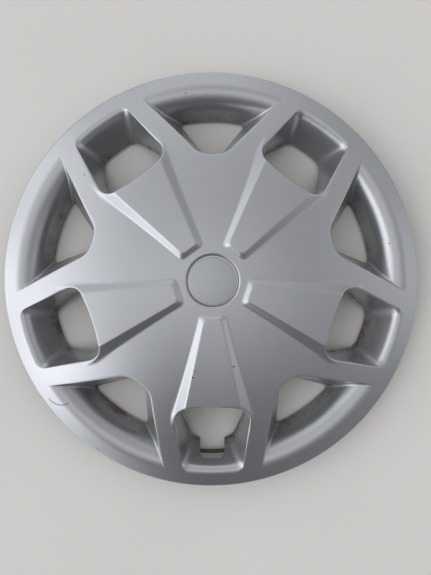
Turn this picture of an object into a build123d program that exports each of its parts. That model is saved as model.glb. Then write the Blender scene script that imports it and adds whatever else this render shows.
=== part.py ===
from build123d import *

import os
from math import asin, atan2, cos, degrees, hypot, pi, radians, sin, sqrt, tan

# Wheel cover for a 16 inch steel wheel, lying face up on its retaining legs.
# The wheel axis is Z, the leg tips stand on z = 0 and the port with the valve notch points to -Y.

# Overall form of the moulded cover
RIM_DIAMETER = 425.0      # outer edge of the rim band
CROWN_HEIGHT = 57.0       # face at the axis, above the leg tips
FACE_RADIUS = 800.0       # spherical crown of the face
WALL = 2.5                # moulded wall everywhere
LIP_DEPTH = 5.0           # turned-down outer edge, below the face
LIP_ROUND = 1.2           # rounding of that edge
ARMS = 5

# Raised panel along each arm
PANEL_HUB_R = 37.9        # crest at the panel's hub end, from the axis
PANEL_HUB_HALF = 8.4      # half width of the crest there
PANEL_SPREAD = 12.2       # degrees that each crest turns away from the arm's middle line
PANEL_HUB_RISE = 2.8      # panel above the face at its hub end
PANEL_PORT_RISE = 5.2     # panel above the face at the port
BEVEL_SLOPE = 28.0        # degrees from level of the bevels round the panel
PANEL_CORNER = 4.0        # rounding where the end bevel meets the side bevels
PANEL_RUN_OUT = 2.0       # crest of the panel's outer end, past the port's inner edge
CREST_ROUND = 1.5         # rounding of the crest
FOOT_ROUND = 2.0          # rounding at the foot of the bevels

# Port, the four-sided window at the end of each arm
PORT_INNER_R = 124.0      # inner edge, on the arm's middle line
PORT_BOW = 180.0          # radius of the bowed inner edge
PORT_HALF = 38.9          # half width at the inner edge
PORT_TAPER = 6.2          # degrees that each side closes in towards the rim
PORT_CORNER = 11.0        # rounding of the inner corners
PORT_BAND = 13.5          # rim band left outside the port
PORT_ROLL = 8.0           # rounding from the band into the outer wall
PORT_CREASE = 5.0         # rounding between the side walls and the outer wall

# Bay, the large window between two arms
BAY_INNER_R = 124.7
BAY_HALF = 12.2
BAY_FLARE = 45.2          # degrees that each side opens towards the rim
BAY_CORNER = 10.0
BAY_BAND = 13.5
BAY_ROLL = 17.0
BAY_CREASE = 3.0

# Window walls
DRAFT = 21.5              # degrees from upright of the side walls
ROLL_BREAK = 7.0          # degrees between the face and a roll where they meet
SKIRT_INSET = 42.0        # back edge of the outer walls, in from the rim
SKIRT_GAP = 3.5           # that edge above the leg tips
LIP_WALL = 7.0            # depth of the window walls at the bays' inner ends

# Valve notch in the outer wall of one port
NOTCH_WIDTH = 26.0
NOTCH_INSET = 27.0        # outer end of the notch, in from the rim
NOTCH_CORNER = 6.0

# Hub recess and badge
RECESS_R = 26.0
RECESS_FLOOR_R = 24.4
RECESS_DEPTH = 3.0
BADGE_GAP = 0.5           # round the badge in its recess
BADGE_EDGE = 1.5          # thickness of the badge at its edge
BADGE_CROWN = 0.9         # dome of the badge above its edge
BADGE_ROUND = 0.4
STEM_R = 9.0              # snap stem behind the badge
STEM_WALL = 2.0
STEM_GAP = 0.15           # between the stem and its hole
STEM_BEAD = 0.7           # snap bead behind the hole, outside its edge
STEM_BEAD_HEIGHT = 2.4
STEM_ROOT = 1.0           # unslotted part of the stem next to the badge
STEM_SLOT = 2.4

# Retaining legs and spring ring
LEG_INSET = 23.3          # outer face of the legs, in from the rim
LEG_THICK = 3.0
LEG_WIDTH = 14.0
LEG_ANGLE = 12.5          # degrees to either side of each arm's middle line
LEG_BARB = 3.0            # barb that grips the wheel
LEG_HOOK = 3.0            # reach of the nubs above and below the wire
LEG_NUB = 1.2             # thickness of a nub at its tip
WIRE_DIAMETER = 4.0
WIRE_HEIGHT = 8.0         # middle of the wire above the leg tips
WIRE_GAP = 0.2            # round the wire in its groove

# Places that follow from the sizes above
RIM_R = RIM_DIAMETER / 2
STEP = 360 / ARMS
SKIRT_R = RIM_R - SKIRT_INSET
LEG_OUTER_R = RIM_R - LEG_INSET
LEG_INNER_R = LEG_OUTER_R - LEG_THICK
WIRE_R = LEG_INNER_R - WIRE_GAP - WIRE_DIAMETER / 2
RECESS_FLOOR = CROWN_HEIGHT - RECESS_DEPTH
BELOW = -CROWN_HEIGHT / 2 # a level under the whole part
ABOVE = 2 * CROWN_HEIGHT
FAR = 4 * RIM_R           # side of the blocks that stand for half spaces


def drop(r, radius):
    """How far a sphere falls from its crown at a distance r from the axis."""
    return radius - sqrt(radius**2 - r**2)


def face_z(r):
    """Height of the face at a distance r from the axis."""
    return CROWN_HEIGHT - drop(r, FACE_RADIUS)


def lift(r, z):
    """Point of the XZ half plane that outlines are drawn in."""
    return (r, 0, z)


def outline(*points):
    """Closed straight-sided outline through (r, z) points."""
    corners = [lift(*point) for point in points]
    return [Line(a, b) for a, b in zip(corners, corners[1:] + corners[:1])]


def turned(edges, arc=360):
    """Solid turned about Z from a closed outline of edges."""
    return revolve(Face(Wire(edges)), Axis.Z, revolution_arc=arc)


def behind(plane):
    """Half space on the side that the plane's normal points away from."""
    return plane * Pos(0, 0, -FAR / 2) * Box(FAR, FAR, FAR)


def around(piece, turn=0.0):
    """One copy per arm of a piece built along +Y, with +X midway between two arms."""
    return [Rot(0, 0, STEP * (k + 0.5) - 90 + turn) * piece for k in range(ARMS)]


def cap(crown, radius, outer, floor):
    """Everything under a spherical crown, out to a radius and down to a level."""
    edge = crown - drop(outer, radius)
    middle = crown - drop(outer / 2, radius)
    return turned([
        Line(lift(0, floor), lift(outer, floor)),
        Line(lift(outer, floor), lift(outer, edge)),
        ThreePointArc(lift(outer, edge), lift(outer / 2, middle), lift(0, crown)),
        Line(lift(0, crown), lift(0, floor)),
    ])


def panel_sphere():
    """Crown height and radius of the sphere that the panels' tops lie on."""
    r1, r2 = PANEL_HUB_R, PORT_INNER_R
    z1 = face_z(r1) + PANEL_HUB_RISE
    z2 = face_z(r2) + PANEL_PORT_RISE
    middle = (r2**2 - r1**2 + z2**2 - z1**2) / (2 * (z2 - z1))
    radius = hypot(r1, z1 - middle)
    return middle + radius, radius


def bevel(start, end, fall, inset):
    """Half space under a bevel whose crest joins two plan points on the panel's top."""
    crown, radius = panel_sphere()
    a, b = [Vector(x, y, crown - drop(hypot(x, y), radius)) for x, y in (start, end)]
    down = Vector(*fall) * cos(radians(BEVEL_SLOPE)) - Vector(0, 0, sin(radians(BEVEL_SLOPE)))
    normal = (b - a).cross(down)
    if normal.Z < 0:
        normal = -normal
    return behind(Plane(a, x_dir=b - a, z_dir=normal).offset(-inset))


def panel_ends():
    """Distance from the axis and half width of the crest at the panel's two ends."""
    far = PORT_INNER_R + PANEL_RUN_OUT
    far_half = PANEL_HUB_HALF + (far - PANEL_HUB_R) * tan(radians(PANEL_SPREAD))
    return (PANEL_HUB_R, PANEL_HUB_HALF), (far, far_half)


def panel(inset):
    """Raised panel along +Y, with its top and its four bevels set in by a distance."""
    crown, radius = panel_sphere()
    turn = radians(PANEL_SPREAD)
    (near, near_half), (far, far_half) = panel_ends()
    body = cap(crown - inset, radius - inset, RIM_R - PORT_BAND, BELOW)
    body &= bevel((-near_half, near), (near_half, near), (0, -1), inset)
    body &= bevel((-far_half, far), (far_half, far), (0, 1), inset)
    for side in (1, -1):
        body &= bevel((side * near_half, near), (side * far_half, far), (side * cos(turn), -sin(turn)), inset)
    return body


def middle_r(edge):
    """Distance of the middle of an edge from the axis."""
    middle = edge @ 0.5
    return hypot(middle.X, middle.Y)


def rounded_panel():
    """Panel with its four corners and its crest rounded."""
    crown, radius = panel_sphere()
    body = panel(0)
    for (r, half), away in zip(panel_ends(), (-1, 1)):
        for side in (1, -1):
            x, y = side * (half + PANEL_CORNER), r + away * PANEL_CORNER
            beside = (x, y, crown - drop(hypot(half, r), radius) - PANEL_CORNER)
            body = fillet(body.edges().sort_by_distance(beside)[0], PANEL_CORNER)
    top = body.faces().sort_by_distance((0, PORT_INNER_R, crown))[0]
    return fillet(top.edges(), CREST_ROUND)


def dome(inset):
    """Everything under the face and the hub recess, with both set in by a distance."""
    radius, outer = FACE_RADIUS - inset, RIM_R - inset
    hub_r, floor_r, floor_z = RECESS_R + inset, RECESS_FLOOR_R + inset, RECESS_FLOOR - inset

    def on_face(r):
        return lift(r, CROWN_HEIGHT - inset - drop(r, radius))

    return turned([
        Line(lift(0, BELOW), lift(outer, BELOW)),
        Line(lift(outer, BELOW), on_face(outer)),
        ThreePointArc(on_face(outer), on_face((outer + hub_r) / 2), on_face(hub_r)),
        Line(on_face(hub_r), lift(floor_r, floor_z)),
        Line(lift(floor_r, floor_z), lift(0, floor_z)),
        Line(lift(0, floor_z), lift(0, BELOW)),
    ])


def front():
    """Everything under the face and its rounded panels, with the rim's edge rounded."""
    body = dome(0)
    low = face_z(RIM_R) - WALL
    rim = body.edges().filter_by(lambda edge: middle_r(edge) > RIM_R - WALL and (edge @ 0.5).Z > low)
    body = fillet(rim, LIP_ROUND) + around(rounded_panel())
    face = body.faces().sort_by_distance((-RECESS_R, 0, face_z(RECESS_R)))[0]
    feet = face.edges().filter_by(lambda edge: RECESS_R + WALL < middle_r(edge) < RIM_R - PORT_BAND)
    feet = feet.filter_by(lambda edge: (edge @ 0.5).X < 0 or abs((edge @ 0.5).Y) > WALL)
    return fillet(feet, FOOT_ROUND)


def core():
    """Hollow behind the face and its panels, one wall in from their surface."""
    return dome(WALL) + around(panel(WALL))


def window_side(side, half, inner_r, turn, edge_r, offset):
    """Air to one side of a window: a plane through its edge on the face, leaning in by the draft."""
    run = edge_r - inner_r
    s, c = sin(radians(turn)), cos(radians(turn))
    places = [(side * half, inner_r), (side * (half + run * s), inner_r + run * c)]
    a, b = [Vector(x, y, face_z(hypot(x, y))) for x, y in places]
    inward = Vector(-side * c, s, 0)
    normal = (b - a).cross(inward * tan(radians(DRAFT)) - Vector(0, 0, 1))
    if normal.dot(inward) > 0:
        normal = -normal
    return behind(Plane(a, x_dir=b - a, z_dir=normal).offset(offset))


def outer_wall(band, roll, offset):
    """Air inside an outer wall: a roll from the face into a straight wall down to the skirt's edge."""
    start_r = RIM_R - band
    tilt = asin(start_r / FACE_RADIUS) - radians(ROLL_BREAK)
    centre_r = start_r - roll * sin(tilt)
    centre_z = face_z(start_r) - roll * cos(tilt)
    reach = hypot(centre_r - SKIRT_R, centre_z - SKIRT_GAP)
    rise = atan2(centre_z - SKIRT_GAP, centre_r - SKIRT_R) + asin(roll / reach)

    def on_roll(angle):
        return lift(centre_r + (roll - offset) * cos(angle), centre_z + (roll - offset) * sin(angle))

    first, last = pi / 2 - tilt, pi / 2 + rise
    brow, foot = on_roll(first), on_roll(last)
    out = (brow[0] + FAR * cos(tilt), brow[2] - FAR * sin(tilt))
    low_r = foot[0] - (foot[2] - BELOW) / tan(rise)
    return turned([
        Line(lift(0, BELOW), lift(low_r, BELOW)),
        Line(lift(low_r, BELOW), foot),
        ThreePointArc(foot, on_roll((first + last) / 2), brow),
        Line(brow, lift(*out)),
        Line(lift(*out), lift(out[0], ABOVE)),
        Line(lift(out[0], ABOVE), lift(0, ABOVE)),
        Line(lift(0, ABOVE), lift(0, BELOW)),
    ])


def wall_space(margin):
    """Space over the sloping back edge of the window walls, lowered by a margin."""
    start_z = face_z(BAY_INNER_R) - LIP_WALL
    slope = (start_z - SKIRT_GAP) / (SKIRT_R - BAY_INNER_R)
    top_r = BAY_INNER_R - (CROWN_HEIGHT - start_z + margin) / slope
    edge_z = SKIRT_GAP - margin
    outer_r = RIM_R + WALL
    return turned(outline(
        (top_r, CROWN_HEIGHT), (SKIRT_R, edge_z), (outer_r, edge_z), (outer_r, CROWN_HEIGHT)))


def is_crease(edge):
    """Whether an edge of a window's air joins a side wall to the outer wall."""
    middle = edge @ 0.5
    beside = abs(middle.X) > WALL
    return beside and SKIRT_R < hypot(middle.X, middle.Y) < RIM_R and middle.Z < CROWN_HEIGHT - WALL


def window(end, half, inner_r, turn, corner, band, roll, crease, offset):
    """Air of one window along +Y, grown on every side by an offset."""
    well = end & wall_space(2 * WALL)
    for side in (1, -1):
        well &= window_side(side, half, inner_r, turn, RIM_R - band, offset)
    for side in (1, -1):
        inner = (side * half, inner_r, face_z(hypot(half, inner_r)))
        well = fillet(well.edges().sort_by_distance(inner)[0], corner + offset)
    well &= outer_wall(band, roll, offset)
    return fillet(well.edges().filter_by(is_crease), crease + offset)


def port(offset):
    """Air of a port, whose inner edge is bowed towards the hub."""
    end = Pos(0, PORT_INNER_R + PORT_BOW) * Cylinder(PORT_BOW + offset, FAR)
    return window(end, PORT_HALF, PORT_INNER_R, -PORT_TAPER, PORT_CORNER, PORT_BAND, PORT_ROLL,
                  PORT_CREASE, offset)


def bay(offset):
    """Air of a bay, whose inner edge is straight."""
    end = behind(Plane((0, BAY_INNER_R, 0), z_dir=(0, -1, 0)).offset(offset))
    return window(end, BAY_HALF, BAY_INNER_R, BAY_FLARE, BAY_CORNER, BAY_BAND, BAY_ROLL,
                  BAY_CREASE, offset)


def notch():
    """Valve notch along +Y, cut up through the outer wall from its back edge."""
    outer = RIM_R - NOTCH_INSET
    length = outer - PORT_INNER_R - PORT_CORNER
    plan = Pos(0, outer - length / 2, BELOW) * RectangleRounded(NOTCH_WIDTH, length, NOTCH_CORNER)
    return extrude(plan, amount=ABOVE - BELOW, dir=(0, 0, 1))


def leg():
    """Retaining leg along +Y: a barb grips the wheel, and two nubs hold the wire between them."""
    low = WIRE_HEIGHT - WIRE_DIAMETER / 2 - WIRE_GAP
    high = WIRE_HEIGHT + WIRE_DIAMETER / 2 + WIRE_GAP
    nub_r = LEG_INNER_R - LEG_HOOK
    root = face_z(LEG_OUTER_R - LEG_THICK / 2) - WALL / 2
    arc = degrees(LEG_WIDTH / LEG_OUTER_R)
    edges = outline(
        (LEG_INNER_R, 0), (LEG_OUTER_R, 0), (LEG_OUTER_R + LEG_BARB, WIRE_HEIGHT),
        (LEG_OUTER_R, WIRE_HEIGHT + LEG_BARB), (LEG_OUTER_R, root), (LEG_INNER_R, root),
        (LEG_INNER_R, high + LEG_NUB + LEG_HOOK), (nub_r, high + LEG_NUB), (nub_r, high),
        (LEG_INNER_R, high), (LEG_INNER_R, low), (nub_r, low), (nub_r, low - LEG_NUB))
    return Rot(0, 0, 90 - arc / 2) * turned(edges, arc)


def cover():
    """The whole moulding."""
    full = front()
    lip = behind(Plane((0, 0, face_z(RIM_R) - LIP_DEPTH), z_dir=(0, 0, -1)))
    space = wall_space(0) & full
    ports, bays = around(port(0)), around(bay(0), STEP / 2)
    port_wall = (around(port(WALL))[0] & space) - ports[0]
    bay_wall = (around(bay(WALL), STEP / 2)[0] & space) - bays[0]
    walls = [Rot(0, 0, STEP * k) * wall for wall in (port_wall, bay_wall) for k in range(ARMS)]
    legs = [piece for side in (1, -1) for piece in around(leg(), side * LEG_ANGLE)]
    hole = Cylinder(STEM_R + STEM_GAP, FAR)
    body = (full & lip) - [core(), hole] - (ports + bays)
    body = body + (walls + legs) - around(notch())[0]
    return Rot(0, 0, -90 - STEP / 2) * body


def centre_badge():
    """Domed disc with a slotted snap stem that grips behind the hub's floor."""
    disc_r = RECESS_FLOOR_R - BADGE_GAP
    edge_z = RECESS_FLOOR + BADGE_EDGE
    crown = edge_z + BADGE_CROWN
    radius = (disc_r**2 + BADGE_CROWN**2) / (2 * BADGE_CROWN)
    disc = cap(crown, radius, disc_r, RECESS_FLOOR)
    disc = fillet(disc.edges().sort_by_distance((0, disc_r, edge_z))[0], BADGE_ROUND)
    grip = RECESS_FLOOR - WALL - STEM_GAP
    tip = grip - STEM_BEAD_HEIGHT
    bead_r = STEM_R + STEM_GAP + STEM_BEAD
    stem = turned(outline(
        (STEM_R - STEM_WALL, RECESS_FLOOR), (STEM_R - STEM_WALL, tip), (STEM_R - STEM_GAP, tip),
        (bead_r, grip), (STEM_R, grip), (STEM_R, RECESS_FLOOR)))
    slot = Pos(0, 0, RECESS_FLOOR - STEM_ROOT) * Box(
        4 * STEM_R, STEM_SLOT, CROWN_HEIGHT, align=(Align.CENTER, Align.CENTER, Align.MAX))
    return disc + (stem - slot - Rot(0, 0, 90) * slot)


def retaining_ring():
    """Spring wire ring lying in the grooves of the legs."""
    return Pos(0, 0, WIRE_HEIGHT) * Torus(WIRE_R, WIRE_DIAMETER / 2)


os.makedirs("parts", exist_ok=True)
for make in (cover, retaining_ring, centre_badge):
    export_step(make(), f"parts/{make.__name__}.step")
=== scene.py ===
from math import asin, atan2, cos, hypot, pi, radians, sin, sqrt, tan

import bmesh
import bpy
import numpy as np
from mathutils import Matrix, Vector


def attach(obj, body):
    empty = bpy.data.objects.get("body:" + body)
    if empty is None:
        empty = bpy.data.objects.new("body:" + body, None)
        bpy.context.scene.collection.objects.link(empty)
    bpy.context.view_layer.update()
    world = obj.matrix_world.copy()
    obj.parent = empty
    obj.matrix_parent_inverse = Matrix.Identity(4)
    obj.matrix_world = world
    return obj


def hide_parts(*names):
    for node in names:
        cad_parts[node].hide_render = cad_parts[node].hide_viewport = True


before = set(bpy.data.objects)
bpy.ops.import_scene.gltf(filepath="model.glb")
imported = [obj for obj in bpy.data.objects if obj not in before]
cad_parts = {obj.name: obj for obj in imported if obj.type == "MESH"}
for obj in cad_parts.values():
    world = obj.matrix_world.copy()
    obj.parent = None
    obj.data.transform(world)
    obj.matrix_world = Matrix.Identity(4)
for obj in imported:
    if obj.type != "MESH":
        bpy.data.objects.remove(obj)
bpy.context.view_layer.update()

# Sizes of the cover in millimetres. They are those of the part's source, except that the windows' corners and
# creases are rounder, the bays' roll is larger and the rim band outside the bays is narrower
MM = 0.001
RIM_R = 212.5
CROWN = 57.0
FACE_RADIUS = 800.0
WALL = 2.5
LIP_DEPTH = 5.0
LIP_ROUND = 1.2
ARMS = 5
STEP = 2 * pi / ARMS
PANEL_HUB_R, PANEL_HUB_HALF, PANEL_SPREAD = 37.9, 8.4, radians(12.2)
PANEL_HUB_RISE, PANEL_PORT_RISE, BEVEL = 2.8, 5.2, tan(radians(28.0))
PANEL_FAR_R = 126.0
PORT = dict(inner=124.0, bow=1 / 180.0, half=38.9, turn=radians(-6.2), corner=13.5, band=13.5, roll=8.0,
            crease=8.5, tip=0.8)
BAY = dict(inner=124.7, bow=0.0, half=12.2, turn=radians(45.2), corner=21.0, band=13.0, roll=18.5,
           crease=6.0, tip=0.1)
DRAFT = tan(radians(21.5))
SKIRT_R, SKIRT_GAP, LIP_WALL = 170.5, 3.5, 7.0
NOTCH_HALF, NOTCH_END, NOTCH_CORNER = 13.0, 185.5, 6.0
RECESS_R, RECESS_FLOOR_R, RECESS_FLOOR = 26.0, 24.4, 54.0
STEM_HOLE_R = 9.15
WIRE_R, WIRE_HEIGHT, WIRE_RADIUS = 184.0, 8.0, 2.0

# Roundings that only the visible skin has
CREST_SOFT, FOOT_SOFT, CORNER_SOFT = 0.5, 0.6, 2.3
EDGE_ROUND = 1.7          # from the face into a window's inner end, and into its sides at their outer end
SIDE_ROUND = 2.0          # from the face into a window's sides at their inner end
OUTER_EASE = 0.35         # from the face into an outer wall, which rolls out of the face by itself
EASE_SHARE = 0.4          # most of a wall's depth that these roundings take
CORNER_SHARE = 0.9        # most of an inner end's half width that its corner takes
EDGE_BULGE = 0.5          # rounded back edge of the walls
RECESS_ROUND = 0.8        # from the face into the hub recess
RECESS_EDGE = 0.95, 1.3   # in and down from the recess's corner to the end of that rounding
FLOOR_FOOT = 0.3, 0.6     # out and up from the recess's floor to the foot of its wall
LIP_TOP = 0.3, 1.6        # down from the face's edge to the corner and the end of the lip's upper rounding
LIP_LINE = 1.5            # height over the lip's lower edge of a row that keeps the lip straight
LIP_EDGE, LIP_CUT = 0.5, 0.15    # size of the lip's lower roundings, and how far they lie inside the sharp corner


def dome_z(r):
    """Face height at a distance r from the axis: a sphere of the face's radius under the crown."""
    return CROWN - FACE_RADIUS + np.sqrt(FACE_RADIUS**2 - r**2)


def soft_min(a, b, k):
    """The lower of two heights, rounded where they differ by less than k: min less (k - |a - b|)^2 / 4k."""
    return np.minimum(a, b) - np.clip(k - np.abs(a - b), 0, None)**2 / (4 * k)


def panel_top():
    """Crown and radius of the sphere through the panel's two ends."""
    z1 = float(dome_z(PANEL_HUB_R)) + PANEL_HUB_RISE
    z2 = float(dome_z(PORT["inner"])) + PANEL_PORT_RISE
    middle = (PORT["inner"]**2 - PANEL_HUB_R**2 + z2**2 - z1**2) / (2 * (z2 - z1))
    radius = hypot(PANEL_HUB_R, z1 - middle)
    return middle + radius, radius


PANEL_CROWN, PANEL_RADIUS = panel_top()


def panel_top_z(r):
    """Height of the sphere that the panels' tops lie on."""
    return PANEL_CROWN - PANEL_RADIUS + np.sqrt(PANEL_RADIUS**2 - r**2)


def crest_x(y):
    """Half width of the panel's crest at a distance y along the arm."""
    return PANEL_HUB_HALF + (y - PANEL_HUB_R) * tan(PANEL_SPREAD)


def bevel_z(x, y):
    """Side bevel: falls by the bevel's slope from the crest, a straight line in plan that lies on the panel's top."""
    dx, dy = x - PANEL_HUB_HALF, y - PANEL_HUB_R
    along = dx * sin(PANEL_SPREAD) + dy * cos(PANEL_SPREAD)
    away = dx * cos(PANEL_SPREAD) - dy * sin(PANEL_SPREAD)
    crest_r = np.hypot(PANEL_HUB_HALF + along * sin(PANEL_SPREAD), PANEL_HUB_R + along * cos(PANEL_SPREAD))
    return panel_top_z(crest_r) - BEVEL * away


def face_z(x, y):
    """Face along an arm: the higher of the dome and the panel, which is the lowest of its top and bevels."""
    x = np.abs(x)
    r = np.hypot(x, y)
    hub_end = panel_top_z(PANEL_HUB_R) - BEVEL * (PANEL_HUB_R - y)
    port_end = panel_top_z(PANEL_FAR_R) - BEVEL * (y - PANEL_FAR_R)
    sides = soft_min(bevel_z(x, y), soft_min(hub_end, port_end, CORNER_SOFT), CORNER_SOFT)
    raised = soft_min(panel_top_z(r), sides, CREST_SOFT)
    return -soft_min(-dome_z(r), -raised, FOOT_SOFT)


def back_z(r):
    """Back edge of the window walls: a cone falling to the skirt's edge, then level."""
    start = float(dome_z(BAY["inner"])) - LIP_WALL
    slope = (start - SKIRT_GAP) / (SKIRT_R - BAY["inner"])
    return np.maximum(start - slope * (r - BAY["inner"]), SKIRT_GAP)


def unit(v):
    """Vectors of length one along the last axis."""
    return v / np.maximum(np.linalg.norm(v, axis=-1, keepdims=True), 1e-9)


def curve(a, corner, b, t):
    """Curve from a to b that the lines from both to the corner touch: (1 - t)^2 a + 2 t (1 - t) corner + t^2 b."""
    return (1 - t)**2 * a + 2 * t * (1 - t) * corner + t**2 * b


def outer_wall(w, t):
    """Distance from the axis and height down a window's outer wall, t from 0 on the face to 1 at its back edge: an
    arc that leaves the face without a break, then a straight line."""
    start, roll = RIM_R - w["band"], w["roll"]
    tilt = asin(start / FACE_RADIUS)
    centre_r, centre_z = start - roll * sin(tilt), float(dome_z(start)) - roll * cos(tilt)
    reach = hypot(centre_r - SKIRT_R, centre_z - SKIRT_GAP)
    rise = atan2(centre_z - SKIRT_GAP, centre_r - SKIRT_R) + asin(roll / reach)
    arc, line = roll * (tilt + rise), sqrt(reach**2 - roll**2)
    run = t * (arc + line)
    angle = pi / 2 - tilt + np.minimum(run, arc) / roll
    rest = np.clip(run - arc, 0, None)
    return (centre_r + roll * np.cos(angle) - rest * cos(rise),
            centre_z + roll * np.sin(angle) - rest * sin(rise))


def window_corners(w, t):
    """Corners down a window's wall at the parameters t: where its side meets the inner end, and where it meets the
    outer wall. The side is a plane through its edge on the face that leans in by the draft."""
    s, c = sin(w["turn"]), cos(w["turn"])
    way, inward = np.array([s, c]), np.array([-c, s])
    foot = np.array([w["half"], w["inner"]])
    run = RIM_R - w["band"] - w["inner"]
    z0, z1 = [float(dome_z(np.linalg.norm(foot + way * u))) for u in (0, run)]
    fall = (z1 - z0) / run

    def at_end(u, shift):
        p = foot + inward * shift + way * u
        return (w["inner"] + p[0]**2 * w["bow"] / 2 - foot[1] - inward[1] * shift) / c

    u, deep_u, depth = 0.0, 0.0, 0.0
    for _ in range(20):
        u = at_end(u, 0.0)
        deep_u = at_end(deep_u, DRAFT * depth)
        p = foot + inward * DRAFT * depth + way * deep_u
        depth = z0 + fall * deep_u - float(back_z(np.linalg.norm(p)))
    top = np.array([*(foot + way * u), z0 + fall * u])
    low = np.array([*p, z0 + fall * deep_u - depth])
    r, z = outer_wall(w, t)
    base = foot + inward * (DRAFT * (z0 - z))[:, None]
    step = way + inward * DRAFT * fall
    dot = base @ step
    far = (-dot + np.sqrt(dot**2 - step @ step * (np.sum(base**2, axis=1) - r**2))) / (step @ step)
    return top + (low - top) * t[:, None], raise_to(base + step * far[:, None], z)


def rounded(a, c, b, t):
    """Circular arc from a to b that the lines a-c and b-c touch: a conic whose weight is the cosine of half the
    turn."""
    turn = np.arccos(np.clip(unit(c - a) @ unit(b - c), -1, 1))
    w = np.cos(turn / 2)
    t = t[:, None]
    parts = (1 - t)**2, 2 * w * t * (1 - t), t**2
    return (parts[0] * a + parts[1] * c + parts[2] * b) / sum(parts)


def window_loop(w, corner, crease, middle_z, t, spans):
    """Half of a window's outline at one depth t, from the middle of its inner end to the middle of its outer wall: the
    end, a rounded corner, the side, a rounded crease and an arc. spans holds the parameters along those five."""
    side = unit(crease - corner)
    outer = hypot(crease[0], crease[1])
    slope = corner[0] * w["bow"]
    reach = min(w["corner"] * tan((pi / 2 - w["turn"] - slope) / 2), CORNER_SHARE * corner[0])
    hold = w["crease"] * (w["tip"] + (1 - w["tip"]) * t)
    low = corner[1] - corner[0]**2 * w["bow"] / 2

    def on_end(x):
        return np.stack([x, low + x**2 * w["bow"] / 2, middle_z + (corner[2] - middle_z) * (x / corner[0])**2], axis=-1)

    first = corner[0] - reach
    a, b = corner + side * reach, crease - side * hold
    angle = atan2(crease[0], crease[1]) - hold / outer
    last = np.array([outer * sin(angle), outer * cos(angle), crease[2]])
    sweep = angle * (1 - spans[4])
    arc = np.stack([outer * np.sin(sweep), outer * np.cos(sweep), 0 * sweep + crease[2]], axis=-1)
    return np.concatenate([
        on_end(first * spans[0]), rounded(on_end(np.array(first)), corner, a, spans[1]),
        a + (b - a) * spans[2][:, None], rounded(b, crease, last, spans[3]), arc])


def at_depth(wall, t):
    """Points of a wall's rows at the row parameters t, which run from 0 to 1 in each column."""
    k = np.clip(t, 0, 1) * (len(wall) - 1)
    low = np.minimum(k.astype(int), len(wall) - 2)
    part = (k - low)[..., None]
    column = np.arange(wall.shape[1])
    return wall[low, column] * (1 - part) + wall[low + 1, column] * part


def outward(loop):
    """Plan directions square to an outline, away from the window."""
    along = unit(np.gradient(loop, axis=0))
    along[0], along[-1] = (1, 0), (-1, 0)
    return np.stack([along[:, 1], -along[:, 0]], axis=1)


def raise_to(plan, height):
    """Points over plan positions at given heights."""
    return np.concatenate([plan, np.broadcast_to(height, plan.shape[:-1])[..., None]], axis=-1)


def between(a, b, t):
    """Rows of points from line a to line b at the parameters t."""
    return a[None] + (b - a)[None] * t[:, None, None]


# Lines of the half sector from an arm's middle to the next bay's middle
HUB_EDGE, HUB_CLIP = 115.0, radians(14.0)
HUB_SQUARE_R = PANEL_HUB_R - 4       # from here outwards the hub's rows are square to the arm
SPOKE_IN, SPOKE_OUT, SPOKE_SPREAD = radians(21.5), radians(11.0), radians(9.0)
FACE_EDGE_R = RIM_R - LIP_ROUND
BACK_EDGE_R = RIM_R - WALL
CUP_R = RECESS_R + WALL


def polar(r, angle):
    """Plan points at a distance from the axis and an angle from the arm's middle line."""
    return np.stack([r * np.sin(angle), r * np.cos(angle)], axis=-1)


def spread(knots, counts):
    """Values that divide each stretch between knots evenly, with both ends; knots may be rows of values."""
    knots = [np.asarray(k, float) for k in knots]
    parts = [a[..., None] + (b - a)[..., None] * (np.arange(n) / n) for a, b, n in zip(knots, knots[1:], counts)]
    return np.concatenate(parts + [knots[-1][..., None]], axis=-1)


# Mesh lines: counts across the hub, along the windows' outlines and along the rim, and where lines and rows lie
PORT_HUB_COUNTS = (8, 6, 5, 6, 6)
BAY_HUB_COUNT, BAY_END_COUNT = 9, 5
CORNER_REST, SIDE_COUNT, CREASE_COUNT, CREASE_FIRST = 4, 16, 10, 5
PORT_ARC_COUNT, BAY_ARC_COUNT = 16, 24
PORT_END_KNOTS, PORT_CORNER_KNOTS, SPOKE_KNOTS = (0, 0.9, 1), (0, 0.34, 0.54, 0.72, 1), (0, 0.16, 0.8, 1)
FACE_ROWS = spread([0, 0.25, 1], (3, 4))
ROLL_ROWS = np.linspace(0, 1, 9)
WALL_ROWS = np.linspace(0, 1, 15)
REAR_ROWS = np.array([0.8, 0.6, 0.42, 0.26])
BACK_ROWS = np.linspace(0, 1, 4)
HUB_KNOTS, HUB_COUNTS = (32.5, 39.5), (7, 14, 26)
HUB_BACK_KNOT, HUB_BACK_COUNTS = 45.0, (9, 7)
RECESS_ROWS, RECESS_FRONT = 6, 8     # rows of the recess's rounding, and all rows on its front side
LIP_ROWS, LIP_FRONT = 7, 11          # rows of the lip's upper rounding, and all rows on its front side
EDGE_ROWS = 6             # across the rounded back edge of a wall
WALL_LEVELS = 49          # outlines that a wall is worked out from
NOTCH_STEPS = 401         # places down a wall that are tried for the notch
DOWN_STEP = 0.03          # share of a wall, at its end, that gives its direction there
# Close lines along the panel's crest and foot: half width in millimetres, and the most of the bevel that it takes
CREST_LINES, CREST_SHARE, FOOT_LINES, FOOT_SHARE = 1.3, 0.42, 1.6, 0.5
FOOT_REACH = 1.02         # run of the bevel over its rise by its slope, since the dome falls away under it
# Distance from a window's outline to where the backs of face and wall meet, at the six ends of its five stretches
JOINT_SETBACK = (2.0, 2.0, 1.7, 1.5, 0.6, 0.4)


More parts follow.
